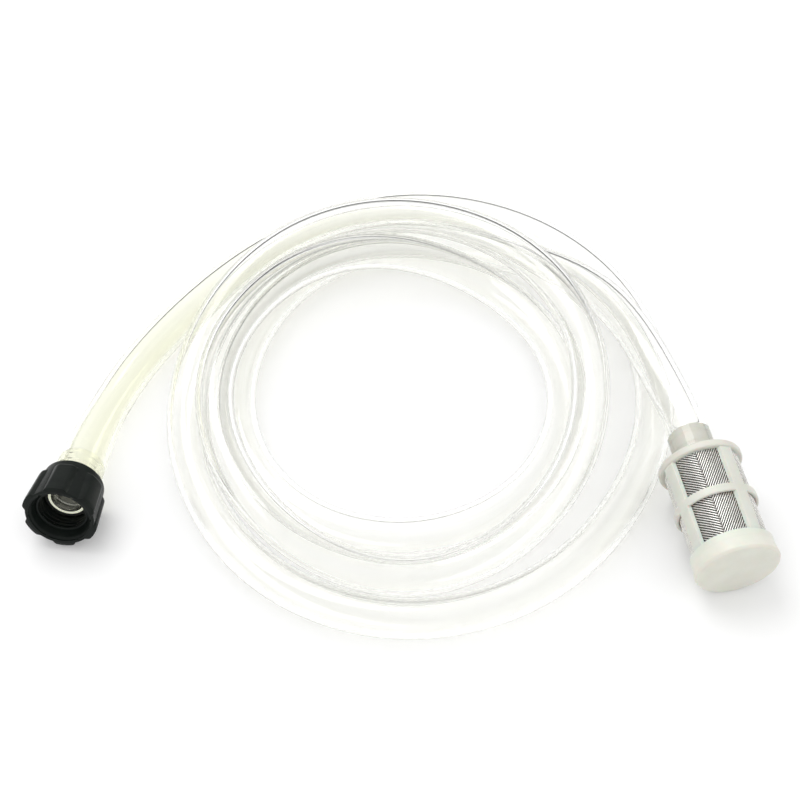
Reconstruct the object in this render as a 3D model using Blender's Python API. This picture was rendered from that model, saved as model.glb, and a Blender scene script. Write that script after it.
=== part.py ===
"""Siphon hose set: clear hose in three loose turns, threaded swivel nut, inlet strainer."""
from math import cos, pi, radians, sin

import bmesh
import bpy
import numpy as np
from mathutils import Matrix, Vector

# Driving dimensions in millimetres. The coil's middle is the origin of the route.
MM = 0.001
HOSE_RADIUS = 8.0
GAP = 0.3
ORIGIN_SHIFT = Vector((1.1665, 60.9558, 0.0))

# Nut: middle of its mouth, turn about the vertical and upward tilt of the mouth.
NUT_MOUTH = Vector((-134.5, -67.6, 17.5))
NUT_YAW = radians(-7.5)
NUT_TILT = radians(12.5)
NUT_LENGTH = 21.6
NUT_FLOOR = 16.6
NUT_HOLE = 7.9
NUT_PADS = 6
FIRST_PAD = -88.0
PAD_HALF = 20.3
PAD_EDGE = 21.7
THREAD_PITCH = 1.81
THREAD_RIDGES = 4
THREAD_MINOR = 9.35
THREAD_MAJOR = 10.5
RING_DEPTH = 11.2
TAIL_END = 33.0

# Hose barbs on the tail and on the strainer's spigot.
BARB_ROOT = 6.9
BARB_TIP = 7.5
BARB_END = 6.2
BARB_BORE = 5.2

# Strainer: middle of the cap's face, turn about the vertical and dip towards the cap.
STRAINER_FACE = Vector((130.5, -92.0, 17.05))
STRAINER_YAW = radians(11.5)
STRAINER_DIP = radians(3.5)
STRAINER_LENGTH = 50.5
SPIGOT_LENGTH = 15.0
RIB_WIDTH = 23.0
RIB_TURN = 20.0
WINDOW_ROWS = ((3.4, 20.5), (24.2, 41.0))

# Hose route: radius and height in mm at each hour of a clock seen from above, running clockwise.
FIRST_HOUR = -3
NUT_TAIL = [(121.5, 8), (106.5, 8), (107.5, 8)]
TURN_1 = [
    (115.5, 8), (117.5, 8), (113.5, 8), (108.3, 8), (105.3, 8), (107.5, 8),
    (107.8, 8), (102, 8), (94, 8), (90.5, 8), (91, 15.5), (93, 23.5),
]
TURN_2 = [
    (94, 25.4), (89.5, 25.4), (83, 25.2), (79.5, 24.8), (81.8, 20.3), (86.3, 11.5),
    (89, 8.2), (86, 15.5), (80.5, 22), (76.7, 24), (75, 24.9), (75, 24.9),
]
TURN_3 = [
    (76, 19.5), (75.5, 11), (73, 8.3), (70.5, 8), (69.3, 8), (69.7, 8),
    (70.5, 8), (70.2, 8), (69, 8), (69.3, 8), (74, 8), (84, 8),
]
STRAINER_TAIL = [(93.3, 8), (98, 9.3), (100.5, 20.5), (108, 25.7)]
SAMPLE_STEP = 0.75
STRAIGHT_END = 5.0

SEGMENTS = 40


def clear_scene():
    for item in list(bpy.data.objects):
        bpy.data.objects.remove(item, do_unlink=True)


def make_material(name, colour, roughness, metallic):
    material = bpy.data.materials.new(name)
    material.use_nodes = True
    shader = material.node_tree.nodes["Principled BSDF"]
    shader.inputs["Base Color"].default_value = (*colour, 1.0)
    shader.inputs["Roughness"].default_value = roughness
    shader.inputs["Metallic"].default_value = metallic
    return material


def axis_from(yaw, rise):
    return Vector((sin(yaw) * cos(rise), -cos(yaw) * cos(rise), sin(rise)))


def frame_on(axis):
    """Rotation whose Z is the axis and whose Y points up."""
    side = axis.cross(Vector((0, 0, -1))).normalized()
    up = axis.cross(side)
    return Matrix((side, up, axis)).transposed()


def add_object(name, mesh, material, place, turn):
    """Turn the mesh in place and leave the object's origin on the piece's own axis."""
    mesh.transform(Matrix.Scale(MM, 4) @ turn.to_4x4())
    mesh.materials.append(material)
    mesh.shade_smooth()
    mesh.set_sharp_from_angle(angle=radians(35))
    item = bpy.data.objects.new(name, mesh)
    item.location = (place + ORIGIN_SHIFT) * MM
    bpy.context.collection.objects.link(item)
    return item


def mesh_from(bm, name):
    bmesh.ops.recalc_face_normals(bm, faces=bm.faces[:])
    mesh = bpy.data.meshes.new(name)
    bm.to_mesh(mesh)
    bm.free()
    return mesh


def lathe(name, profile, angles=None):
    """Turn a closed outline of (radius, z) about Z. Points on the axis become one vertex."""
    if angles is None:
        angles = [2 * pi * k / SEGMENTS for k in range(SEGMENTS)]
    bm = bmesh.new()
    rings = []
    for point in profile:
        if point[0] == 0:
            rings.append([bm.verts.new((0, 0, point[1]))])
            continue
        ring = []
        for angle in angles:
            radius = point[0]
            if len(point) == 3 and on_pad(angle):
                radius = point[2]
            ring.append(bm.verts.new((radius * cos(angle), radius * sin(angle), point[1])))
        rings.append(ring)
    count = len(angles)
    for k in range(len(rings)):
        first = rings[k]
        second = rings[(k + 1) % len(rings)]
        if len(first) == 1 and len(second) == 1:
            continue
        for j in range(count):
            corners = [first[j % len(first)], first[(j + 1) % len(first)]]
            corners += [second[(j + 1) % len(second)], second[j % len(second)]]
            unique = list(dict.fromkeys(corners))
            bm.faces.new(unique)
    return mesh_from(bm, name)


def on_pad(angle):
    """True on the six grip pads. One pad points nearly straight down."""
    from_middle = (angle * 180 / pi - FIRST_PAD + 30) % 60 - 30
    return abs(from_middle) < PAD_HALF + 0.5


def pad_angles():
    steps = [-PAD_EDGE, -PAD_HALF, -13.6, -6.8, 0, 6.8, 13.6, PAD_HALF, PAD_EDGE, 30]
    angles = []
    for k in range(NUT_PADS):
        for step in steps:
            angles.append(radians(FIRST_PAD + 60 * k + step))
    return angles


def nut_profile():
    """Outline of the nut with the mouth at z = 0: outside with pads, back wall, thread ridges."""
    profile = [(13.0, 0), (13.7, 0, 14.8), (14.0, -0.5, 15.3)]
    profile += [(13.9, -2.0, 15.3), (13.0, -16.4, 14.2)]
    profile += [(13.0, -17.0, 13.8), (12.9, -17.6), (12.6, -20.4)]
    profile += [(12.0, -21.2), (11.3, -NUT_LENGTH), (NUT_HOLE, -NUT_LENGTH)]
    profile += [(NUT_HOLE, -NUT_FLOOR), (THREAD_MAJOR, -NUT_FLOOR)]
    for k in range(THREAD_RIDGES):
        low = -10.0 + k * THREAD_PITCH
        profile.append((THREAD_MAJOR, low - 0.72))
        profile.append((THREAD_MINOR, low - 0.2))
        profile.append((THREAD_MINOR, low + 0.2))
        profile.append((THREAD_MAJOR, low + 0.72))
    profile.append((THREAD_MAJOR, -2.9))
    return profile


def barbs(start, length, count, towards_end):
    """Saw-tooth outline of a hose barb, from its root at start to its tip."""
    points = []
    pitch = length / count
    for k in range(count):
        root = start + towards_end * k * pitch
        points.append((BARB_ROOT, root + towards_end * 0.15 * pitch))
        points.append((BARB_TIP, root + towards_end * 0.3 * pitch))
        points.append((BARB_TIP, root + towards_end * 0.42 * pitch))
    points.append((BARB_END, start + towards_end * length))
    return points


def tail_profile():
    """Ring seen in the mouth, flange that the nut pulls on, stem and barbs."""
    barb_root = -NUT_LENGTH - 0.6
    profile = [(6.0, -RING_DEPTH), (7.7, -RING_DEPTH), (7.9, -RING_DEPTH - 0.2), (7.9, -13.4)]
    profile += [(9.1, -13.4), (9.1, GAP - NUT_FLOOR), (BARB_TIP, GAP - NUT_FLOOR), (BARB_TIP, barb_root)]
    profile += barbs(barb_root, TAIL_END + barb_root, 3, -1)
    profile += [(BARB_BORE, -TAIL_END), (BARB_BORE, -14.6), (6.0, -13.8)]
    return profile


def body_profile():
    """Spigot, flange and cage of the strainer. The flange's top face is at z = 0."""
    profile = [(BARB_BORE, 2.6), (BARB_BORE, -SPIGOT_LENGTH)]
    profile += list(reversed(barbs(-0.6, SPIGOT_LENGTH - 0.6, 3, -1)))
    profile += [(7.0, -0.6), (7.0, 0), (15.6, 0), (16.7, 0.4), (17.2, 1.3)]
    profile += [(17.2, 2.3), (16.9, 3.2), (16.6, 3.4), (16.6, 20.5)]
    profile += [(17.0, 21.1), (17.0, 23.6), (16.6, 24.2), (16.6, 42.3)]
    profile += [(15.4, 42.3), (15.4, 2.6)]
    return profile


def cap_profile():
    profile = [(0, 47.3), (13.0, 47.3), (13.0, 40.0), (14.3, 40.0)]
    profile += [(14.3, 42.6), (16.5, 42.6), (16.6, 44.6), (17.0, 47.4)]
    profile += [(17.2, 48.6), (17.1, 49.6), (16.5, 50.3), (15.7, 50.5)]
    profile += [(14.9, 49.9), (0, 49.9)]
    return profile


def sleeve_profile(near, far, widest):
    """Hose end stretched over barbs, from the fitting (near) to the plain hose (far)."""
    span = far - near
    outside = [(widest - 0.2, 0), (widest, 0.1), (widest - 0.2, 0.5), (0.5 * widest + 4.2, 0.8), (8.4, 1)]
    profile = [(radius, near + span * part) for radius, part in outside]
    profile += [(BARB_TIP + GAP, far), (BARB_TIP + GAP, near)]
    return profile


def window_cutter():
    """Eight wedges, two rows of four, that open the cage between its ribs."""
    bm = bmesh.new()
    half = radians(45 - RIB_WIDTH / 2)
    steps = 9
    for low, high in WINDOW_ROWS:
        for quarter in range(4):
            columns = []
            for k in range(steps):
                angle = radians(RIB_TURN) + quarter * pi / 2 - half + 2 * half * k / (steps - 1)
                column = []
                for radius, level in ((14.2, low), (19.0, low), (19.0, high), (14.2, high)):
                    column.append(bm.verts.new((radius * cos(angle), radius * sin(angle), level)))
                columns.append(column)
            for k in range(steps - 1):
                for j in range(4):
                    n = (j + 1) % 4
                    bm.faces.new((columns[k][j], columns[k][n], columns[k + 1][n], columns[k + 1][j]))
            bm.faces.new(columns[0])
            bm.faces.new(list(reversed(columns[-1])))
    return mesh_from(bm, "window_cutter")


def cut(item, cutter):
    modifier = item.modifiers.new("windows", "BOOLEAN")
    modifier.operation = "DIFFERENCE"
    modifier.solver = "EXACT"
    modifier.object = cutter
    cutter.hide_render = True
    cutter.display_type = "WIRE"


def route_points(start, finish):
    points = [start]
    hours = NUT_TAIL + TURN_1 + TURN_2 + TURN_3 + STRAINER_TAIL
    for k, (radius, height) in enumerate(hours):
        angle = radians(30 * (FIRST_HOUR + k))
        points.append(Vector((radius * sin(angle), radius * cos(angle), height)))
    points.append(finish)
    return np.array(points, dtype=float)


def route_slopes(points, first, last):
    """Slopes that make a smooth cubic curve through the points, with its end directions given."""
    spans = np.linalg.norm(np.diff(points, axis=0), axis=1)
    count = len(points)
    matrix = np.eye(count)
    right = np.zeros_like(points)
    right[0] = first
    right[-1] = last
    for k in range(1, count - 1):
        before = spans[k - 1]
        after = spans[k]
        matrix[k, k - 1] = after
        matrix[k, k] = 2 * (before + after)
        matrix[k, k + 1] = before
        rise = (points[k] - points[k - 1]) * after / before
        right[k] = 3 * (rise + (points[k + 1] - points[k]) * before / after)
    return np.linalg.solve(matrix, right), spans


def route_at(points, slopes, spans, place):
    k = min(int(place), len(points) - 2)
    t = place - k
    value = points[k] * (2 * t ** 3 - 3 * t ** 2 + 1) + points[k + 1] * (3 * t ** 2 - 2 * t ** 3)
    value = value + slopes[k] * spans[k] * (t ** 3 - 2 * t ** 2 + t)
    value = value + slopes[k + 1] * spans[k] * (t ** 3 - t ** 2)
    return Vector((value[0], value[1], max(value[2], HOSE_RADIUS)))


def make_hose(material, start, start_way, finish, finish_way):
    points = route_points(start, finish)
    slopes, spans = route_slopes(points, start_way, finish_way)
    last = len(points) - 1
    middle = [route_at(points, slopes, spans, 0.55)]
    place = 1.0
    while place < last - 0.3:
        middle.append(route_at(points, slopes, spans, place))
        place += SAMPLE_STEP
    # A short straight piece at each end keeps the cut faces square to the fittings.
    line = [start, start + start_way * STRAIGHT_END]
    line += middle
    line += [finish - finish_way * STRAIGHT_END, finish]
    curve = bpy.data.curves.new("hose", "CURVE")
    curve.dimensions = "3D"
    curve.bevel_depth = HOSE_RADIUS * MM
    curve.bevel_resolution = 4
    curve.use_fill_caps = True
    curve.twist_mode = "Z_UP"
    spline = curve.splines.new("POLY")
    spline.points.add(len(line) - 1)
    for k, point in enumerate(line):
        spline.points[k].co = (*(point * MM), 1.0)
    spline.use_smooth = True
    curve.materials.append(material)
    item = bpy.data.objects.new("hose", curve)
    item.location = ORIGIN_SHIFT * MM
    bpy.context.collection.objects.link(item)


clear_scene()

clear_pvc = make_material("clear_pvc", (0.78, 0.80, 0.72), 0.12, 0.0)
black_plastic = make_material("black_plastic", (0.018, 0.018, 0.019), 0.42, 0.0)
clear_tail = make_material("clear_tail", (0.80, 0.79, 0.62), 0.15, 0.0)
white_plastic = make_material("white_plastic", (0.72, 0.72, 0.66), 0.38, 0.0)
black_rubber = make_material("black_rubber", (0.025, 0.025, 0.025), 0.75, 0.0)
steel_mesh = make_material("steel_mesh", (0.46, 0.46, 0.45), 0.35, 1.0)

nut_axis = axis_from(NUT_YAW, NUT_TILT)
nut_turn = frame_on(nut_axis)
strainer_axis = axis_from(STRAINER_YAW, -STRAINER_DIP)
strainer_turn = frame_on(strainer_axis)
flange = STRAINER_FACE - strainer_axis * STRAINER_LENGTH

# Nut end
add_object("nut", lathe("nut", nut_profile(), pad_angles()), black_plastic, NUT_MOUTH, nut_turn)
add_object("hose_tail", lathe("hose_tail", tail_profile()), clear_tail, NUT_MOUTH, nut_turn)
washer = [(8.2, -13.1), (8.2, -11.5), (9.2, -11.5), (9.2, -13.1)]
add_object("seal_washer", lathe("seal_washer", washer), black_rubber, NUT_MOUTH, nut_turn)
sleeve = sleeve_profile(-NUT_LENGTH - GAP, -TAIL_END, 9.9)
add_object("hose_end_nut", lathe("hose_end_nut", sleeve), clear_pvc, NUT_MOUTH, nut_turn)

# Strainer end
cage = lathe("strainer_body", body_profile())
body = add_object("strainer_body", cage, white_plastic, flange, strainer_turn)
cutter = add_object("window_cutter", window_cutter(), white_plastic, flange, strainer_turn)
cut(body, cutter)
screen = [(14.6, 2.9), (15.1, 2.9), (15.1, 42.0), (14.6, 42.0)]
add_object("mesh_screen", lathe("mesh_screen", screen), steel_mesh, flange, strainer_turn)
add_object("end_cap", lathe("end_cap", cap_profile()), white_plastic, flange, strainer_turn)
sleeve = sleeve_profile(-GAP, -SPIGOT_LENGTH, 8.9)
add_object("hose_end_strainer", lathe("hose_end_strainer", sleeve), clear_pvc, flange, strainer_turn)

# Hose
hose_start = NUT_MOUTH - nut_axis * (TAIL_END + GAP)
hose_finish = flange - strainer_axis * (SPIGOT_LENGTH + GAP)
make_hose(clear_pvc, hose_start, -nut_axis, hose_finish, strainer_axis)
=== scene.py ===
# %% [markdown]
# # A clear siphon hose with a tap nut and a strainer
# The object is about two metres of clear hose lying in three loose turns. A black nut on one end screws on
# a tap. A pale strainer with a woven screen closes the other end. The solid model gives every piece its
# place, and this lesson dresses it: each piece is made again with its fine shape, and gets its own finish.

from math import cos, pi, radians, sin

import bmesh
import bpy
import numpy as np
from mathutils import Matrix, Vector


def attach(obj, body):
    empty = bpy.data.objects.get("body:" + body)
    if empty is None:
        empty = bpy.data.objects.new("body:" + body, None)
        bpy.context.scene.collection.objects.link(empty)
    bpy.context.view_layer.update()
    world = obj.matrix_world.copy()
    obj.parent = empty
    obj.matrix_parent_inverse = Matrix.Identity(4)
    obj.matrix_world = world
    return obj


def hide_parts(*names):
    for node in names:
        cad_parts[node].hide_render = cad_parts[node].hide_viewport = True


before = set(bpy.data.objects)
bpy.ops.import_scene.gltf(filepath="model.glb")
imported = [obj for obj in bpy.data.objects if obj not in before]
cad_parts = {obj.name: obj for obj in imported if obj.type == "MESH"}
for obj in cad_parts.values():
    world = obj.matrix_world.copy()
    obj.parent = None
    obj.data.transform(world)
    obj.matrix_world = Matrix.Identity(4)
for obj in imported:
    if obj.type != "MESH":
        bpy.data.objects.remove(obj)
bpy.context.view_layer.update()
MM = 0.001

# %% [markdown]
# ## Where things lie
# The hose is drawn around the middle of its coil, and the two fittings have axes of their own. A matrix
# for each turns millimetres along a fitting's axis into metres in the model. So a piece can be designed
# upright, like a part in a lathe, and then laid down in one step.

# %% Axes of the nut and of the strainer
def pointing(turn, rise):
    """A direction that looks at the viewer's side, turned to the right and raised, both in degrees."""
    flat = cos(radians(rise))
    return Vector((sin(radians(turn)) * flat, -cos(radians(turn)) * flat, sin(radians(rise))))


COIL = Vector((1.1665, 60.9558, 0.0))
NUT_MOUTH = Vector((-134.5, -67.6, 17.5)) + COIL
NUT_AXIS = pointing(-7.5, 12.5)
STRAINER_FACE = Vector((130.5, -92.0, 17.05)) + COIL
STRAINER_AXIS = pointing(11.5, -3.5)
STRAINER_LENGTH = 50.5
FLANGE = STRAINER_FACE - STRAINER_AXIS * STRAINER_LENGTH


def laid_along(origin, axis):
    """Matrix from millimetres, with Z along the axis and Y up, to metres in the model."""
    side = axis.cross(Vector((0, 0, -1))).normalized()
    turn = Matrix((side, axis.cross(side), axis)).transposed().to_4x4()
    return Matrix.Scale(MM, 4) @ Matrix.Translation(origin) @ turn


NUT_PLACE = laid_along(NUT_MOUTH, NUT_AXIS)
STRAINER_PLACE = laid_along(FLANGE, STRAINER_AXIS)
for label, place in (("nut mouth", NUT_PLACE), ("flange", STRAINER_PLACE)):
    print(label, "at", [round(x, 4) for x in place.translation])

# %% [markdown]
# ## Camera
# The photograph looks down on the hose at about 51 degrees, from not very far: the near side of the coil
# is clearly larger than the far side. A lens of 28 degrees from 0.68 m gives the same narrowing. A longer
# lens from further away would make both sides of the coil look equally large.

# %% Camera
CAMERA_RISE = radians(51)
CAMERA_REACH = 682.6
LENS_ANGLE = radians(28)
HOSE_RADIUS = 8.0
look_at = (COIL + Vector((0, 0, HOSE_RADIUS))) * MM
camera = bpy.data.objects.new("camera", bpy.data.cameras.new("camera"))
camera.data.angle = LENS_ANGLE
camera.location = look_at + Vector((0, -cos(CAMERA_RISE), sin(CAMERA_RISE))) * CAMERA_REACH * MM
camera.rotation_euler = (pi / 2 - CAMERA_RISE, 0, 0)
bpy.context.scene.collection.objects.link(camera)
bpy.context.scene.camera = camera
print("camera at", [round(x, 3) for x in camera.location])

# %% [markdown]
# ## Small helpers for nodes
# Materials, the sky and Geometry Nodes are all trees of nodes. A tree could be clicked together in the
# node editor. Here it is written down instead, and two helpers keep that short: one sets or links the
# inputs of a node, and one adds a node in the same breath.

# %% Node helpers
def set_inputs(tree, node, **inputs):
    """Set a node's inputs, or link them where a socket is given. In a name, _ is a space, in_0 a place."""
    for name, value in inputs.items():
        place = int(name[3:]) if name.startswith("in_") else name.replace("_", " ")
        if isinstance(value, bpy.types.NodeSocket):
            tree.links.new(value, node.inputs[place])
        else:
            node.inputs[place].default_value = value


def add_node(tree, kind, props=None, **inputs):
    node = tree.nodes.new(kind)
    for name, value in (props or {}).items():
        setattr(node, name, value)
    set_inputs(tree, node, **inputs)
    return node


def calculate(tree, operation, first, second=0.0):
    return add_node(tree, "ShaderNodeMath", {"operation": operation}, in_0=first, in_1=second).outputs[0]


def ramp(tree, value, first, last, low, high):
    """Map a number from one range to another, and hold it at both ends."""
    span = {"From_Min": first, "From_Max": last, "To_Min": low, "To_Max": high}
    return add_node(tree, "ShaderNodeMapRange", Value=value, **span).outputs["Result"]


print("helpers: set_inputs, add_node, calculate, ramp")

# %% [markdown]
# ## Small helpers for materials
# Every finish here is a Principled shader with a little variation from noise, because no moulded or drawn
# plastic is perfectly even. A picture could be wrapped round a piece instead, but noise has no seams and
# no limit of detail. Object coordinates are in metres, so a noise scale of 400 has grains of about 2 mm.
# Where a finish changes along a piece, the mesh carries a number for it as an attribute.

# %% Material helpers
def new_material(name):
    """A material with nodes. Returns it, its tree and its shader."""
    material = bpy.data.materials.new(name)
    material.use_nodes = True
    return material, material.node_tree, material.node_tree.nodes["Principled BSDF"]


def attribute(tree, name):
    """A number that is stored on the mesh. It is 0 where the mesh has none."""
    return add_node(tree, "ShaderNodeAttribute", {"attribute_name": name}).outputs["Fac"]


def noise(tree, scale, detail=3.0):
    where = add_node(tree, "ShaderNodeTexCoord").outputs["Object"]
    return add_node(tree, "ShaderNodeTexNoise", Vector=where, Scale=scale, Detail=detail).outputs["Fac"]


def spread(tree, value, low, high):
    """Map noise, which stays near the middle, to a range of numbers."""
    return ramp(tree, value, 0.3, 0.7, low, high)


def blend(tree, share, first, second):
    """Mix two colours. Each is a colour, or a socket that gives one."""
    ends = {"A": first, "B": second}
    for name, colour in ends.items():
        if not isinstance(colour, bpy.types.NodeSocket):
            ends[name] = (*colour, 1)
    return add_node(tree, "ShaderNodeMix", {"data_type": "RGBA"}, Factor=share, **ends).outputs["Result"]


def two_tones(tree, value, first, second):
    return blend(tree, spread(tree, value, 0, 1), first, second)


print("helpers: new_material, attribute, noise, spread, blend, two_tones")

# %% [markdown]
# ## Moulded plastics and rubber
# The nut is moulded in satin black. The strainer's cage and its cap are two mouldings of milky white. The
# cage's white is a little greyer than the cap's, as painted shade for the shade its ribs and flange lie in.
# Milky plastic lets some light into its skin, which is what subsurface scattering is for. The washer is
# dull rubber. Each could have a tree of its own, but all four share one recipe: two close tones in soft
# clouds, and a fine grain that makes gloss and surface slightly uneven.

# %% Moulded plastics and rubber
GRAIN_HEIGHT = 0.0001


def plastic(name, first, second, rough, grain, bump, **more):
    """A moulded plastic. rough is the range of its roughness, and grain the noise scale of its skin."""
    material, tree, shader = new_material(name)
    fine = noise(tree, grain, 6.0)
    skin = add_node(tree, "ShaderNodeBump", Strength=bump, Distance=GRAIN_HEIGHT, Height=fine)
    set_inputs(
        tree, shader, Base_Color=two_tones(tree, noise(tree, grain * 0.2), first, second),
        Roughness=spread(tree, fine, *rough), Normal=skin.outputs["Normal"], **more,
    )
    return material


MILKY = {"Subsurface_Weight": 0.3, "Subsurface_Scale": 0.004}
black_plastic = plastic(
    "black_plastic", (0.005, 0.007, 0.006), (0.008, 0.011, 0.009),
    rough=(0.3, 0.45), grain=900, bump=0.12, Specular_IOR_Level=0.12,
)
white_plastic = plastic(
    "white_plastic", (0.71, 0.71, 0.625), (0.76, 0.76, 0.68),
    rough=(0.28, 0.42), grain=600, bump=0.06, **MILKY,
)
# Painted shade: the cage's plastic is a greyer copy of white_plastic, for the shade its ribs and flange lie
# in.
cage_plastic = plastic(
    "cage_plastic", (0.645, 0.65, 0.585), (0.70, 0.705, 0.64),
    rough=(0.28, 0.42), grain=600, bump=0.06, **MILKY,
)
black_rubber = plastic(
    "black_rubber", (0.012, 0.012, 0.012), (0.02, 0.02, 0.02), rough=(0.65, 0.8), grain=1200, bump=0.3
)
print("mouldings:", [m.name for m in (black_plastic, white_plastic, cage_plastic, black_rubber)])

# %% [markdown]
# ## Wire
# The screen is bare steel wire. Where a wire stands out it is bright. Deeper down its colour is darkened:
# painted shade, for the shade that the outer wires throw on the ones beneath. A picture of a weave would do
# from afar, but it would not catch the light as round wires do. So each point keeps its distance from the
# strainer's axis in millimetres, under the name height, and the painted shade follows that.

# %% Steel wire
# Painted shade: between these distances from the axis the wire's colour goes from a dark steel to its own.
SHADED_BELOW, UNSHADED_ABOVE = 14.95, 15.22
SHADE_PAINTED_STEEL = (0.22, 0.21, 0.19)
steel_wire, wire_tree, wire_shader = new_material("steel_wire")
tarnish = noise(wire_tree, 500)
clean = two_tones(wire_tree, tarnish, (0.82, 0.81, 0.77), (0.93, 0.92, 0.89))
out_of_painted_shade = ramp(wire_tree, attribute(wire_tree, "height"), SHADED_BELOW, UNSHADED_ABOVE, 0.0, 1.0)
set_inputs(
    wire_tree, wire_shader, Metallic=1.0, Base_Color=blend(wire_tree, out_of_painted_shade, SHADE_PAINTED_STEEL, clean),
    Roughness=spread(wire_tree, tarnish, 0.2, 0.32),
)
# Below this distance the wire's colour is darkened as painted shade.
print("wire: clean above", UNSHADED_ABOVE, "mm from the axis")

# %% [markdown]
# ## Clear plastics
# The hose is the important finish: clear soft PVC, slightly yellow where it comes out of the nut. It bends
# light, so it is glass to the renderer. Glass throws a black shadow when light has to find its way through
# by chance, so rays from the lamps pass through a plain Transparent shader instead. The bore is a little
# duller than the outside.
#
# The barbed tail in the nut is clear too. A clear wall carries light along to its cut end, which is why
# the end shows as a bright ring in the dark mouth. The renderer would need very many rays to find that
# light, so faces marked cut are opaque and glow a little instead.

# %% Clear plastics
BENDING = 1.47
ROUGH_OUTSIDE, ROUGH_BORE = 0.03, 0.05
CUT_TINT = (0.93, 0.95, 0.76)
CUT_GLOW = 0.35
TAIL_TINT = (0.98, 0.98, 0.93)
SHADOW_TINT = (0.97, 0.97, 0.955, 1)
HAZE_SCALE = 60
YELLOW_UNTIL, WHITE_FROM = 0.08, 0.3


def clear_plastic(name, near_nut, darker, lighter, soaked, density):
    """Clear plastic. Its tint goes from the first colour at the nut to a blend of two in the coil."""
    material, tree, shader = new_material(name)
    past_nut = ramp(tree, attribute(tree, "along"), YELLOW_UNTIL, WHITE_FROM, 0.0, 1.0)
    tint = blend(tree, past_nut, near_nut, two_tones(tree, noise(tree, HAZE_SCALE), darker, lighter))
    cut = attribute(tree, "cut")
    set_inputs(
        tree, shader, IOR=BENDING, Base_Color=blend(tree, cut, tint, CUT_TINT),
        Transmission_Weight=ramp(tree, cut, 0.0, 1.0, 1.0, 0.0),
        Roughness=ramp(tree, attribute(tree, "bore"), 0.0, 1.0, ROUGH_OUTSIDE, ROUGH_BORE),
        Emission_Color=(*CUT_TINT, 1), Emission_Strength=calculate(tree, "MULTIPLY", cut, CUT_GLOW),
    )
    by_ray = add_node(
        tree, "ShaderNodeMixShader", Fac=add_node(tree, "ShaderNodeLightPath").outputs["Is Shadow Ray"],
        in_1=shader.outputs["BSDF"],
        in_2=add_node(tree, "ShaderNodeBsdfTransparent", Color=SHADOW_TINT).outputs["BSDF"],
    )
    soak_up = add_node(tree, "ShaderNodeVolumeAbsorption", Color=(*soaked, 1), Density=density)
    set_inputs(
        tree, tree.nodes["Material Output"], Surface=by_ray.outputs["Shader"],
        Volume=soak_up.outputs["Volume"],
    )
    return material


clear_pvc = clear_plastic(
    "clear_pvc", (0.95, 0.952, 0.88), (0.979, 0.98, 0.968), (0.99, 0.991, 0.983),
    soaked=(0.5, 0.5, 0.42), density=8.0,
)
clear_tail = clear_plastic(
    "clear_tail", TAIL_TINT, TAIL_TINT, TAIL_TINT, soaked=(0.5, 0.5, 0.3), density=20.0
)
print("clear plastics:", clear_pvc.name, clear_tail.name, "bend light by", BENDING)

# %% [markdown]
# ## The route of the hose
# The route is a list of distances from the coil's middle and heights, one for each hour of a clock seen
# from above. The hose runs clockwise. Where it crosses itself, it climbs over in long low humps. A hose
# could be dropped by a simulation, but then it would not lie as in the photograph. A smooth cubic curve
# goes through the points. Its slopes come from one set of equations that makes the bend change evenly.

# %% Route of the hose
FIRST_HOUR = -3
NUT_TAIL = [(121.5, 8), (106.5, 8), (107.5, 8)]
TURN_1 = [
    (115.5, 8), (117.5, 8), (113.5, 8), (108.3, 8), (105.3, 8), (107.5, 8),
    (107.8, 8), (102, 8), (94, 8), (90.5, 8), (91, 15.5), (93, 23.5),
]
TURN_2 = [
    (94, 25.4), (89.5, 25.4), (83, 25.2), (79.5, 24.8), (81.8, 20.3), (86.3, 11.5),
    (89, 8.2), (86, 15.5), (80.5, 22), (76.7, 24), (75, 24.9), (75, 24.9),
]
TURN_3 = [
    (76, 19.5), (75.5, 11), (73, 8.3), (70.5, 8), (69.3, 8), (69.7, 8),
    (70.5, 8), (70.2, 8), (69, 8), (69.3, 8), (74, 8), (84, 8),
]
STRAINER_TAIL = [(93.3, 8), (98, 9.3), (100.5, 20.5), (108, 25.7)]
NUT_BACK = 21.9
TAIL_END = 33.3
SPIGOT_END = 15.3


def smooth_route(points, first_way, last_way, steps):
    """Points on the cubic curve through the route, with both end directions given."""
    spans = np.linalg.norm(np.diff(points, axis=0), axis=1)
    matrix = np.eye(len(points))
    right = np.zeros_like(points)
    right[0], right[-1] = first_way, last_way
    for k in range(1, len(points) - 1):
        before, after = spans[k - 1], spans[k]
        matrix[k, k - 1 : k + 2] = after, 2 * (before + after), before
        rise = (points[k] - points[k - 1]) * after / before
        right[k] = 3 * (rise + (points[k + 1] - points[k]) * before / after)
    slopes = np.linalg.solve(matrix, right)
    line = []
    for k in range(len(points) - 1):
        for t in np.arange(steps) / steps:
            here = points[k] * (2 * t**3 - 3 * t**2 + 1) + points[k + 1] * (3 * t**2 - 2 * t**3)
            bend = slopes[k] * (t**3 - 2 * t**2 + t) + slopes[k + 1] * (t**3 - t**2)
            line.append(here + bend * spans[k])
    return np.array(line + [points[-1]])


route = [NUT_MOUTH - NUT_AXIS * TAIL_END]
for k, (radius, height) in enumerate(NUT_TAIL + TURN_1 + TURN_2 + TURN_3 + STRAINER_TAIL):
    hour = radians(30 * (FIRST_HOUR + k))
    route.append(COIL + Vector((radius * sin(hour), radius * cos(hour), height)))
route.append(FLANGE - STRAINER_AXIS * SPIGOT_END)
bent = smooth_route(np.array(route), -NUT_AXIS, STRAINER_AXIS, steps=10)
print("route points:", len(route), "points on the curve:", len(bent))

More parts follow.
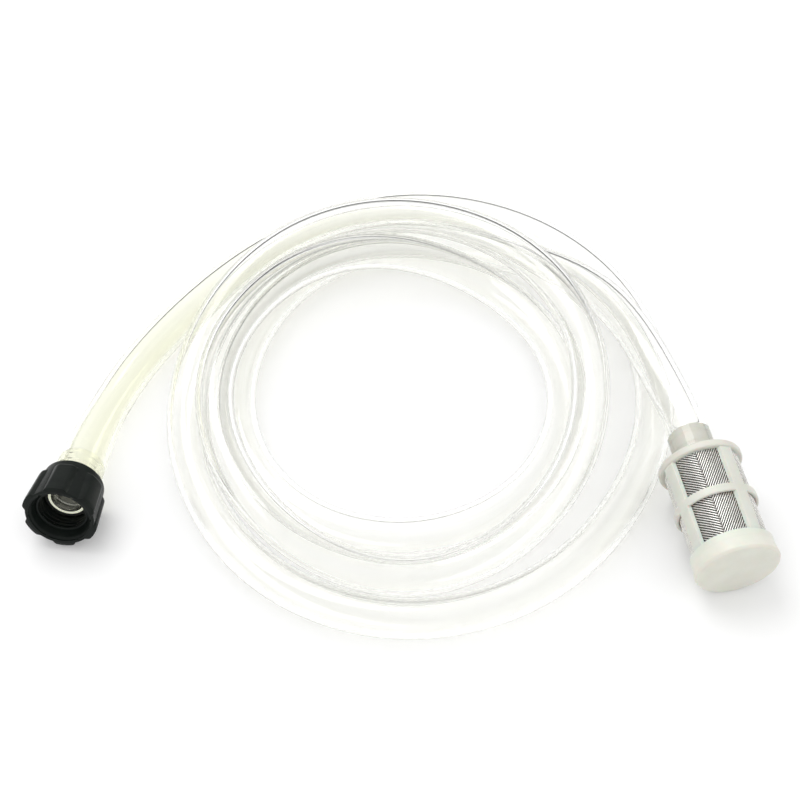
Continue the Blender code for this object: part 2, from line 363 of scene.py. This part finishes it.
# %% [markdown]
# ## The hose and its two ends
# Both ends of the hose are pushed over barbs, so they are straight there and wider, outside and in. At the
# nut the bore narrows slowly, and at the strainer it follows the spigot's tip. The bore lies slightly
# inside the barbs, because an air gap would show as a dark ring through the clear wall. No part of the
# hose may sink into the floor, so its middle is never lower than its own radius.

# %% Line and radii
BORE_RADIUS, GRIPPED_BORE = 6.0, 7.2
NUT_SWELL, STRAINER_SWELL = 1.9, 0.9
# The straight ends stop a little before the curve begins, and before the strainer's flange.
SHORT_OF_CURVE, SHORT_OF_FLANGE = 0.9, 0.3
# Each pair: how far from its end of the hose a swelling starts to fade, and where it is gone.
NUT_SWELL_FADES, STRAINER_SWELL_FADES = (2, 48), (13, 21)
NUT_BORE_FADES, STRAINER_BORE_FADES = (11.3, 55.0), (12.0, 14.9)


def on_axis(start, way, first, last, count):
    return [np.array(start + way * s) for s in np.linspace(first, last, count)]


def fading(distance, first, last):
    """One up to the first distance, then smoothly down to nothing at the last."""
    t = np.clip((distance - first) / (last - first), 0, 1)
    return 1 - t * t * (3 - 2 * t)


near = on_axis(NUT_MOUTH, -NUT_AXIS, NUT_BACK, TAIL_END - SHORT_OF_CURVE, 16)
far = on_axis(FLANGE, STRAINER_AXIS, -SPIGOT_END + SHORT_OF_CURVE, -SHORT_OF_FLANGE, 20)
centre = np.array(near + list(bent) + far)
along = np.concatenate([[0], np.cumsum(np.linalg.norm(np.diff(centre, axis=0), axis=1))])
from_strainer = along[-1] - along
outer = HOSE_RADIUS + NUT_SWELL * fading(along, *NUT_SWELL_FADES)
outer += STRAINER_SWELL * fading(from_strainer, *STRAINER_SWELL_FADES)
on_barbs = fading(along, *NUT_BORE_FADES) + fading(from_strainer, *STRAINER_BORE_FADES)
inner = BORE_RADIUS + (GRIPPED_BORE - BORE_RADIUS) * on_barbs
centre[:, 2] = np.maximum(centre[:, 2], outer)
end_widths = [round(2 * float(radius), 1) for radius in (outer[0], outer[-1])]
print("hose:", round(float(along[-1])), "mm long, its ends", end_widths, "mm wide")

# %% [markdown]
# ## From points to a piece
# Every piece goes the same way: its points and faces become a mesh with soft shading and crisp corners,
# and the mesh becomes an object that stands for some of the solids. Buttons in the menus do each of these
# steps. As helpers they are done in the same way for every piece.

# %% Helpers for pieces
def finish_mesh(name, bm, sharp):
    """Turn all faces outwards, and make a mesh that is smooth but for corners above an angle."""
    bmesh.ops.recalc_face_normals(bm, faces=bm.faces[:])
    mesh = bpy.data.meshes.new(name)
    bm.to_mesh(mesh)
    bm.free()
    mesh.shade_smooth()
    mesh.set_sharp_from_angle(angle=radians(sharp))
    return mesh


def store(mesh, name, domain, values):
    mesh.attributes.new(name, "FLOAT", domain).data.foreach_set("value", values)


def add_piece(name, mesh, material, slot, body, *nodes):
    """Put a finished mesh in the scene, on its body, in place of the solids that it stands for."""
    mesh.materials.clear()
    mesh.materials.append(material)
    piece = bpy.data.objects.new(name, mesh)
    bpy.context.scene.collection.objects.link(piece)
    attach(piece, body)
    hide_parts(*nodes)
    print(name, "has", len(mesh.polygons), "faces")
    return piece


print("helpers: finish_mesh, store, add_piece")

# %% [markdown]
# ## The wall of the hose
# The wall is a sweep. A curve with a bevel would give a solid rod, and light bends in a rod quite
# otherwise than in a pipe. So a ring of points is carried along the line without twisting, once for the
# outside and once for the bore, and the two skins are joined at both ends. Every point keeps how far along
# the hose it is, and whether it is in the bore, for the finish.

# %% Sweep the hose wall
SIDES_OF_HOSE = 96


def sweep_tube(name, line, outside, inside, travelled, sides):
    """A tube along a line, with its own outer and inner radius at every point."""
    ways = np.gradient(line, axis=0)
    ways /= np.linalg.norm(ways, axis=1)[:, None]
    up = np.array([0.0, 0.0, 1.0])
    bm = bmesh.new()
    skins = [[], []]
    turns = 2 * pi * np.arange(sides) / sides
    for point, way, r_out, r_in in zip(line, ways, outside, inside):
        up = up - way * up.dot(way)
        up /= np.linalg.norm(up)
        side = np.cross(way, up)
        for skin, radius in zip(skins, (r_out, r_in)):
            ring = point + radius * (np.cos(turns)[:, None] * side + np.sin(turns)[:, None] * up)
            skin.append([bm.verts.new(p * MM) for p in ring])
    loops = skins[0] + skins[1][::-1]
    for first, second in zip(loops, loops[1:] + loops[:1]):
        for j in range(sides):
            n = (j + 1) % sides
            bm.faces.new((first[j], first[n], second[n], second[j]))
    mesh = finish_mesh(name, bm, sharp=50)
    store(mesh, "along", "POINT", np.repeat(travelled * MM, 2 * sides))
    store(mesh, "bore", "POINT", np.tile(np.repeat([0.0, 1.0], sides), len(line)))
    return mesh


hose_mesh = sweep_tube("clear_hose", centre, outer, inner, along, SIDES_OF_HOSE)
hose = add_piece(
    "clear_hose", hose_mesh, clear_pvc, "clear_pvc", "hose_set",
    "hose", "hose_end_nut", "hose_end_strainer",
)

# %% [markdown]
# ## Turned pieces
# The nut's body, the tail, the strainer's flange and the cap are all round. Each is an outline turned
# about its axis, like work in a lathe. The Screw modifier could do it too, but here the ends on the axis
# and the closing of the outline stay in plain sight. Moulded plastic has no knife edges, so every corner
# of an outline is first cut off by a small arc.

# %% Rounded outlines and turning
def round_corners(outline, radius, steps=4):
    """Replace the corners of a closed outline by arcs, smaller where an edge is short."""
    corners = [Vector(p) for p in outline]
    result = []
    for k, corner in enumerate(corners):
        before = corners[k - 1] - corner
        after = corners[(k + 1) % len(corners)] - corner
        if corner.x == 0 or before.angle(after) > radians(176):
            result.append(corner)
            continue
        half = before.angle(after) / 2
        cut = min(radius / np.tan(half), before.length * 0.45, after.length * 0.45)
        start = corner + before.normalized() * cut
        finish = corner + after.normalized() * cut
        for t in np.linspace(0, 1, steps + 1):
            result.append(start * (1 - t) ** 2 + corner * 2 * t * (1 - t) + finish * t**2)
    return result


def turn_outline(outline, place, sides=128):
    """Turn a closed outline of (radius, z) about Z and lay it in place."""
    bm = bmesh.new()
    angles = [2 * pi * j / sides for j in range(sides)]
    rings = []
    for radius, z in outline:
        if radius == 0:
            rings.append([bm.verts.new((0, 0, z))])
        else:
            rings.append([bm.verts.new((radius * cos(a), radius * sin(a), z)) for a in angles])
    for first, second in zip(rings, rings[1:] + rings[:1]):
        if len(first) == len(second) == 1:
            continue
        for j in range(sides):
            corners = [first[j % len(first)], first[(j + 1) % len(first)]]
            corners += [second[(j + 1) % len(second)], second[j % len(second)]]
            bm.faces.new(list(dict.fromkeys(corners)))
    mesh = finish_mesh("turned", bm, sharp=40)
    mesh.transform(place)
    return mesh


print("helpers: round_corners, turn_outline")

# %% [markdown]
# ## The barbed tail and the washer
# The tail is the clear spigot that the hose is pushed on. Its flange holds the nut, which turns freely
# behind it, and its cut end is the bright ring in the nut's mouth. Barbs could be cut out of a rod with a
# Boolean, but as corners of an outline they are turned with the rest. They are lower than real ones,
# because the hose closes on them and only their wavy line is left to see. The washer round the ring is
# kept as the solid model has it, and only gets its finish.

# %% Tail and washer
BARB, BARB_ROOT = 7.5, 7.35
RING_TOP = -11.2


def barbs(start, length, count, tip):
    """Low barbs that the hose's bore closes on, from their root, going down to the tip's radius."""
    pitch = length / count
    points = []
    for k in range(count):
        root = start - k * pitch
        points += [(BARB_ROOT, root - 0.15 * pitch), (BARB, root - 0.3 * pitch)]
        points += [(BARB, root - 0.42 * pitch)]
    return points + [(tip, start - length)]


tail_outline = [(6.7, RING_TOP), (7.9, RING_TOP), (7.9, -13.4), (9.1, -13.4), (9.1, -16.3)]
tail_outline += [(BARB, -16.3), (BARB, -22.2)] + barbs(start=-22.2, length=10.8, count=3, tip=7.25)
tail_outline += [(6.9, -33.0), (6.9, -24.0), (6.7, -20.0)]
tail_mesh = turn_outline(round_corners(tail_outline, 0.3), NUT_PLACE)
ring_level = (NUT_MOUTH + NUT_AXIS * (RING_TOP - 0.2)).dot(NUT_AXIS) * MM
is_cut = [
    float(face.normal.dot(NUT_AXIS) > 0.7 and face.center.dot(NUT_AXIS) > ring_level)
    for face in tail_mesh.polygons
]
store(tail_mesh, "cut", "FACE", is_cut)
add_piece("barbed_tail", tail_mesh, clear_tail, "clear_tail", "hose_set", "hose_tail")
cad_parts["seal_washer"].data.materials[0] = black_rubber
print("faces of the cut ring:", int(sum(is_cut)))

# %% [markdown]
# ## A helper for Geometry Nodes
# What repeats or follows a path is left to Geometry Nodes: the grips and the thread of the nut, the ribs
# of the strainer and the wires of its screen. Loops in Python could place copies too, but a tree keeps the
# sizes as named inputs that can be played with. It is built node by node, and its result becomes a plain
# mesh.

# %% Geometry Nodes helper
class Tree:
    """A small wrapper: a tree with named inputs, whose result can be baked."""

    def __init__(self, name, **inputs):
        self.group = bpy.data.node_groups.new(name, "GeometryNodeTree")
        face = self.group.interface
        face.new_socket("Geometry", in_out="OUTPUT", socket_type="NodeSocketGeometry")
        self.values = {}
        for label, value in inputs.items():
            kind = {int: "NodeSocketInt", float: "NodeSocketFloat"}.get(type(value), "NodeSocketObject")
            socket = face.new_socket(label.replace("_", " "), in_out="INPUT", socket_type=kind)
            self.values[socket.identifier] = value
        self.inputs = self.group.nodes.new("NodeGroupInput").outputs

    def add(self, kind, props=None, **inputs):
        return add_node(self.group, kind, props, **inputs).outputs[0]

    def math(self, operation, first, second=0.0):
        return calculate(self.group, operation, first, second)

    def bake(self, geometry, material, place):
        """End the tree, evaluate it on an empty mesh and return a plain mesh laid in place."""
        real = self.add("GeometryNodeRealizeInstances", Geometry=geometry)
        done = self.add("GeometryNodeSetMaterial", Geometry=real, Material=material)
        add_node(self.group, "NodeGroupOutput", in_0=done)
        holder = bpy.data.objects.new(self.group.name, bpy.data.meshes.new(self.group.name))
        bpy.context.scene.collection.objects.link(holder)
        modifier = holder.modifiers.new("nodes", "NODES")
        modifier.node_group = self.group
        for identifier, value in self.values.items():
            modifier[identifier] = value
        seen = holder.evaluated_get(bpy.context.evaluated_depsgraph_get())
        mesh = bpy.data.meshes.new_from_object(seen)
        bpy.data.objects.remove(holder)
        mesh.transform(place)
        print(self.group.name, "gives", len(mesh.polygons), "faces")
        return mesh


print("helper: Tree")

# %% [markdown]
# Pads, ribs and wires all stand in a ring. An Array modifier with an empty would turn copies too. Here
# each copy sits on a point of its own at the axis, and is turned by its number.

# %% Copies round an axis
def around(tree, shape, count, offset=0.0):
    """Copies of a shape turned about Z."""
    points = tree.add("GeometryNodePoints", Count=count)
    share = tree.math("DIVIDE", tree.add("GeometryNodeInputIndex"), count)
    angle = tree.math("ADD", tree.math("MULTIPLY", share, 2 * pi), offset)
    turn = tree.add("ShaderNodeCombineXYZ", Z=angle)
    return tree.add("GeometryNodeInstanceOnPoints", Points=points, Instance=shape, Rotation=turn)


def set_around(name, label, shape, count, offset, material, place):
    """A mesh repeated round an axis, as one plain mesh."""
    item = bpy.data.objects.new(label, shape)
    bpy.context.scene.collection.objects.link(item)
    tree = Tree(name, **{label: item, "Count": count})
    one = add_node(tree.group, "GeometryNodeObjectInfo", Object=tree.inputs[label]).outputs["Geometry"]
    mesh = tree.bake(around(tree, one, tree.inputs["Count"], offset), material, place)
    bpy.data.objects.remove(item)
    return mesh


print("helpers: around, set_around")

# %% [markdown]
# ## The nut
# The body is turned: a cup with a back wall and a hole for the tail. The thread is a trapezium swept along
# a spiral, one turn every 1.81 mm as on a tap of that size. It rises to the right, so it is a right-hand
# thread. A Boolean could cut a groove instead, but a swept ridge keeps the body clean.

# %% Nut body and thread
outside_of_nut = [(13.0, 0), (13.7, 0), (14.0, -0.6), (13.0, -17.0), (12.6, -20.4), (11.4, -21.6)]
inside_of_nut = [(7.9, -21.6), (7.9, -16.6), (10.5, -16.6), (10.5, -5.0), (11.7, -1.5)]
nut_outline = round_corners(outside_of_nut + inside_of_nut, 0.4, steps=6)
nut_body = turn_outline(nut_outline, NUT_PLACE)

THREAD_START = -10.6
thread = Tree(
    "nut_thread", Turns=4.0, Pitch=1.81, Root_radius=10.55, Root_width=1.5, Tip_width=0.5, Depth=0.7
)
size = thread.inputs
spiral = thread.add(
    "GeometryNodeCurveSpiral", Resolution=72, Rotations=size["Turns"], Start_Radius=size["Root radius"],
    End_Radius=size["Root radius"], Height=thread.math("MULTIPLY", size["Turns"], size["Pitch"]),
)
upright = thread.add("GeometryNodeSetCurveNormal", {"mode": "Z_UP"}, Curve=spiral)
ridge = thread.add(
    "GeometryNodeCurvePrimitiveQuadrilateral", {"mode": "TRAPEZOID"}, Bottom_Width=size["Root width"],
    Top_Width=size["Tip width"], Height=size["Depth"],
)
swept = thread.add("GeometryNodeCurveToMesh", Curve=upright, Profile_Curve=ridge, Fill_Caps=True)
thread_place = NUT_PLACE @ Matrix.Translation((0, 0, THREAD_START))
thread_mesh = thread.bake(swept, black_plastic, thread_place)

# %% [markdown]
# Six grip pads stand on the outside. Their sides slope down smoothly to the shallow valleys between them,
# so that wet fingers find a hold. The valleys could be cut into the body, but pads set on it are easier to
# round. One pad is a closed slab bent round the axis, and Geometry Nodes set six of them round the nut.

# %% One grip pad
# Shares of a slab's height: what stands upright along its sides, and what its ends start with.
SIDE_STEP, END_STEP = 0.2, 0.3


def bent_slab(half_width, inside, profile, side_edge, end_edge):
    """A slab bent round Z, with soft outer edges. profile gives (z, outer radius) from back to front."""
    bm = bmesh.new()
    angles = np.radians(np.linspace(-half_width, half_width, 41))
    levels = np.array([p[0] for p in profile])
    tops = np.array([p[1] for p in profile])
    rings = []
    for z in np.linspace(levels[0], levels[-1], 33):
        top = np.interp(z, levels, tops)
        near_end = min(z - levels[0], levels[-1] - z)
        up_end = (1 - (1 - min(max(near_end / end_edge, 0), 1)) ** 2) ** 0.5
        ring = []
        for a in angles:
            near_side = min(radians(half_width) - abs(a), 1) * top
            up_side = 1 - fading(near_side, 0, side_edge)
            share = min(up_side, END_STEP + (1 - END_STEP) * up_end)
            radius = inside + (top - inside) * (SIDE_STEP + (1 - SIDE_STEP) * share)
            ring.append(bm.verts.new((radius * cos(a), radius * sin(a), z)))
        for a in angles[::-1]:
            ring.append(bm.verts.new((inside * cos(a), inside * sin(a), z)))
        rings.append(ring)
    for first, second in zip(rings, rings[1:]):
        for j in range(len(first)):
            n = (j + 1) % len(first)
            bm.faces.new((first[j], first[n], second[n], second[j]))
    for ring in (rings[0], rings[-1]):
        for j in range(len(ring) // 2 - 1):
            bm.faces.new((ring[j], ring[j + 1], ring[-2 - j], ring[-1 - j]))
    return finish_mesh("slab", bm, sharp=50)


print("helper: bent_slab")

# %% [markdown]
# The first pad stands almost at the bottom. Body, thread and pads are one moulding. A Boolean union could
# fuse them, as it does the cage below. But black plastic lets no light through, so the parts may overlap
# inside, and they are simply joined to one piece.

# %% Nut with its pads
def join_meshes(name, *meshes):
    """One mesh out of several, with each one's own shading kept."""
    bm = bmesh.new()
    for mesh in meshes:
        bm.from_mesh(mesh)
    joined = bpy.data.meshes.new(name)
    bm.to_mesh(joined)
    bm.free()
    return joined


PAD_PROFILE = [(-17.0, 13.9), (-16.2, 14.2), (-2.0, 15.3), (-0.05, 15.3)]
FIRST_PAD = radians(-88)
one_pad = bent_slab(half_width=27.5, inside=12.4, profile=PAD_PROFILE, side_edge=4.2, end_edge=0.7)
grip_mesh = set_around("nut_grips", "Pad", one_pad, 6, FIRST_PAD, black_plastic, NUT_PLACE)
nut_mesh = join_meshes("swivel_nut", nut_body, thread_mesh, grip_mesh)
add_piece("swivel_nut", nut_mesh, black_plastic, "black_plastic", "swivel_nut", "nut")

# %% [markdown]
# ## The strainer's cage
# The flange with its barbed spigot is turned. So are the ring half-way down and the ring under the cap.
# Four flat ribs hold them together. A rib is a rounded slab like the nut's pads, and is set round in the
# same way. On the real strainer all of this is one moulding, so a Boolean union makes one skin of it.

# %% Cage
def fuse(name, first, *others):
    """One closed mesh out of several that overlap, with no faces left inside."""
    base = bpy.data.objects.new(name, first)
    tools = [bpy.data.objects.new(name + "_tool", other) for other in others]
    for item in [base, *tools]:
        bpy.context.scene.collection.objects.link(item)
    for tool in tools:
        union = base.modifiers.new("union", "BOOLEAN")
        union.operation = "UNION"
        union.solver = "EXACT"
        union.object = tool
    mesh = bpy.data.meshes.new_from_object(base.evaluated_get(bpy.context.evaluated_depsgraph_get()))
    for item in [base, *tools]:
        bpy.data.objects.remove(item)
    mesh.shade_smooth()
    mesh.set_sharp_from_angle(angle=radians(40))
    return mesh


flange_outline = [(5.2, 2.6), (5.2, -15.0)] + barbs(start=-0.6, length=14.4, count=3, tip=6.2)[::-1]
flange_outline += [(BARB, -0.6), (BARB, 0), (17.2, 0), (17.2, 3.3), (14.9, 3.3), (14.9, 2.6)]
ring_outline = [(15.4, 20.5), (16.9, 20.5), (16.9, 24.1), (15.4, 24.1)]
seat_outline = [(15.4, 41.0), (16.4, 41.0), (16.4, 42.3), (15.4, 42.3)]
turned = [
    turn_outline(round_corners(flange_outline, 1.1, steps=6), STRAINER_PLACE),
    turn_outline(round_corners(ring_outline, 0.9, steps=6), STRAINER_PLACE),
    turn_outline(round_corners(seat_outline, 0.3), STRAINER_PLACE),
]
RIB_PROFILE = [(2.4, 17.0), (42.2, 16.75)]
FIRST_RIB = radians(65)
one_rib = bent_slab(half_width=11.5, inside=15.35, profile=RIB_PROFILE, side_edge=0.9, end_edge=0.6)
rib_mesh = set_around("cage_ribs", "Rib", one_rib, 4, FIRST_RIB, cage_plastic, STRAINER_PLACE)
cage_mesh = fuse("strainer_cage", *turned, rib_mesh)
add_piece("strainer_cage", cage_mesh, cage_plastic, "white_plastic", "hose_set", "strainer_body")

# %% [markdown]
# The cap is pushed into the cage's end. Its skirt flares to the cage's full width, and its face is a
# shallow dish inside a soft rim. A squashed cylinder would be quicker, but its edge would be too sharp for
# a moulding, so the cap is turned too.

# %% End cap
plug_outline = [(0, 47.3), (13.0, 47.3), (13.0, 40.0), (14.3, 40.0), (14.3, 42.6), (16.0, 42.6)]
skirt_outline = [(16.0, 41.4), (16.75, 41.4), (16.7, 44.6), (17.05, 47.6), (17.2, 49.0)]
face_outline = [(16.4, 50.3), (15.0, 50.3), (0, 49.9)]
cap_outline = round_corners(plug_outline + skirt_outline + face_outline, 1.2, steps=6)
cap_mesh = turn_outline(cap_outline, STRAINER_PLACE)
add_piece("end_cap_turned", cap_mesh, white_plastic, "white_plastic", "hose_set", "end_cap")

# %% [markdown]
# ## The screen
# The screen is woven wire laid on the bias, so its wires climb round the cage as spirals, one family at 56
# degrees and the other at 38. It shows a herringbone: in each window the wires that lie outside lean one
# way on the left and the other way on the right. Really each wire would go over and under every few
# others, with far more faces. Here one spiral each way is repeated round the axis. Then one family moves
# out and the other in, and they change places in the middle of every window.

# %% One family of wires
SCREEN_RADIUS = 14.75
SCREEN_START, SCREEN_END = 2.9, 42.0
SCREEN_LENGTH = SCREEN_END - SCREEN_START
MIDDLE_OF_WINDOW = radians(110)
POINTS_PER_TURN = 240
weave = Tree(
    "screen_weave", Steep_wires=92, Flat_wires=60, Radius=SCREEN_RADIUS, Length=SCREEN_LENGTH,
    Wire_radius=0.3, Shift=0.25, Swap=30.0, Windows=4.0,
)


def spot(tree):
    """The X and Y of each point, as two sockets."""
    place = tree.add("ShaderNodeSeparateXYZ", in_0=tree.add("GeometryNodeInputPosition"))
    return place.node.outputs["X"], place.node.outputs["Y"]


def wire_family(tree, count, slope, side_up, reverse):
    """Spirals round Z. They stand out where the window's wave has the sign of side_up, and in elsewhere."""
    size = tree.inputs
    spiral = tree.add(
        "GeometryNodeCurveSpiral", Resolution=POINTS_PER_TURN, Height=size["Length"], Reverse=reverse,
        Rotations=SCREEN_LENGTH / np.tan(radians(slope)) / (2 * pi * SCREEN_RADIUS),
        Start_Radius=size["Radius"], End_Radius=size["Radius"],
    )
    wires = tree.add("GeometryNodeRealizeInstances", Geometry=around(tree, spiral, size[count]))
    x, y = spot(tree)
    angle = tree.math("ARCTAN2", y, x)
    from_middle = tree.math("SUBTRACT", angle, MIDDLE_OF_WINDOW)
    wave = tree.math("SINE", tree.math("MULTIPLY", from_middle, size["Windows"]))
    steep = tree.math("MULTIPLY", wave, size["Swap"])
    side = tree.math("MINIMUM", tree.math("MAXIMUM", steep, -1.0), 1.0)
    push = tree.math("MULTIPLY", tree.math("MULTIPLY", side, side_up), size["Shift"])
    outward = tree.add("ShaderNodeCombineXYZ", X=tree.math("COSINE", angle), Y=tree.math("SINE", angle))
    offset = tree.add("ShaderNodeVectorMath", {"operation": "SCALE"}, in_0=outward, Scale=push)
    return tree.add("GeometryNodeSetPosition", Geometry=wires, Offset=offset)


print("helpers: spot, wire_family")

# %% [markdown]
# A circle swept along all the spirals gives the wires. Each point of their surface then gets its distance
# from the axis, which the wire's material reads for its painted shade.

# %% Woven screen
steep_wires = wire_family(weave, "Steep wires", slope=56, side_up=-1.0, reverse=True)
flat_wires = wire_family(weave, "Flat wires", slope=38, side_up=1.0, reverse=False)
both = weave.group.nodes.new("GeometryNodeJoinGeometry")
for family in (steep_wires, flat_wires):
    weave.group.links.new(family, both.inputs[0])
section = weave.add("GeometryNodeCurvePrimitiveCircle", Resolution=5, Radius=weave.inputs["Wire radius"])
woven = weave.add("GeometryNodeCurveToMesh", Curve=both.outputs[0], Profile_Curve=section, Fill_Caps=True)
x, y = spot(weave)
from_axis = weave.math("SQRT", weave.math("ADD", weave.math("POWER", x, 2.0), weave.math("POWER", y, 2.0)))
marked = weave.add("GeometryNodeStoreNamedAttribute", Geometry=woven, Name="height", Value=from_axis)
screen_place = STRAINER_PLACE @ Matrix.Translation((0, 0, SCREEN_START))
screen_mesh = weave.bake(marked, steel_wire, screen_place)
screen_mesh.shade_smooth()
add_piece("screen_wires", screen_mesh, steel_wire, "steel_mesh", "hose_set", "mesh_screen")

# %% [markdown]
# ## Floor
# The photograph has a plain white ground. Here it is a table that ends a little way behind the coil. A
# floor without an end would be simpler, but the far edges of the hose would then show white only. So they
# show what is past the table's end, as thin dark lines. The table keeps its own soft shadows. A little
# glow is added for what the camera sees, and some more for what is seen through the hose, so that the
# table is plain white away from the object. Matte surfaces get no light from that glow.

# %% Floor
TABLE_END = 0.36
TABLE = [(-3, -6, 0), (3, -6, 0), (3, TABLE_END, 0), (-3, TABLE_END, 0)]
UNDER_THE_HOSE = 0.0002
GLOW, GLOW_THROUGH_HOSE = 0.12, 0.15
floor_mesh = bpy.data.meshes.new("floor")
floor_mesh.from_pydata(TABLE, [], [(0, 1, 2, 3)])
floor = bpy.data.objects.new("floor", floor_mesh)
floor.location.z = -UNDER_THE_HOSE
bpy.context.scene.collection.objects.link(floor)
white_floor, floor_tree, floor_shader = new_material("white_floor")
ray = add_node(floor_tree, "ShaderNodeLightPath").outputs
through = calculate(floor_tree, "MULTIPLY", ray["Is Transmission Ray"], GLOW_THROUGH_HOSE)
seen = calculate(floor_tree, "SUBTRACT", 1.0, ray["Is Diffuse Ray"])
glow = calculate(floor_tree, "MULTIPLY", calculate(floor_tree, "ADD", through, GLOW), seen)
set_inputs(
    floor_tree, floor_shader, Base_Color=(0.82, 0.82, 0.82, 1), Roughness=1.0, Specular_IOR_Level=0.0,
    Emission_Color=(1, 1, 1, 1), Emission_Strength=glow,
)
floor_mesh.materials.append(white_floor)
print("floor ends", TABLE_END, "m behind the origin")

# %% [markdown]
# ## Light
# One broad soft lamp stands high on the left, a little behind, and a white dome gives light from all
# round. Several small lamps would give hard shadows, and the photograph has none. The dome is slightly
# darker towards the horizon. Low behind the table it is as dark as the far end of a room, and the far
# edges of the hose show that. The camera itself sees plain white there.

# %% Lamp and sky
LAMP_PLACE = Vector((-0.45, 0.55, 1.3))
LAMP_SIZE, LAMP_POWER = 1.0, 7.2
lamp = bpy.data.objects.new("key", bpy.data.lights.new("key", "AREA"))
lamp.data.shape = "DISK"
lamp.data.size = LAMP_SIZE
lamp.data.energy = LAMP_POWER
lamp.location = LAMP_PLACE
lamp.rotation_euler = (look_at - LAMP_PLACE).to_track_quat("-Z", "Y").to_euler()
bpy.context.scene.collection.objects.link(lamp)

world = bpy.data.worlds.new("studio")
world.use_nodes = True
bpy.context.scene.world = world
sky = world.node_tree
direction = add_node(sky, "ShaderNodeTexCoord").outputs["Generated"]
way = add_node(sky, "ShaderNodeSeparateXYZ", in_0=direction).outputs
dome = ramp(sky, way["Z"], 0.0, 0.35, 0.72, 0.96)
behind = ramp(sky, way["Y"], 0.0, 0.25, 0.0, 0.7)
low = ramp(sky, way["Z"], 0.09, 0.17, 1.0, 0.0)
lit = calculate(sky, "SUBTRACT", dome, calculate(sky, "MULTIPLY", behind, low))
camera_ray = add_node(sky, "ShaderNodeLightPath").outputs["Is Camera Ray"]
strength = add_node(sky, "ShaderNodeMix", Factor=camera_ray, A=lit, B=1.0).outputs["Result"]
set_inputs(sky, sky.nodes["Background"], Color=(1, 1, 1, 1), Strength=strength)
bpy.context.scene.view_settings.view_transform = "Standard"
print("one lamp of", LAMP_POWER, "W and a white dome")
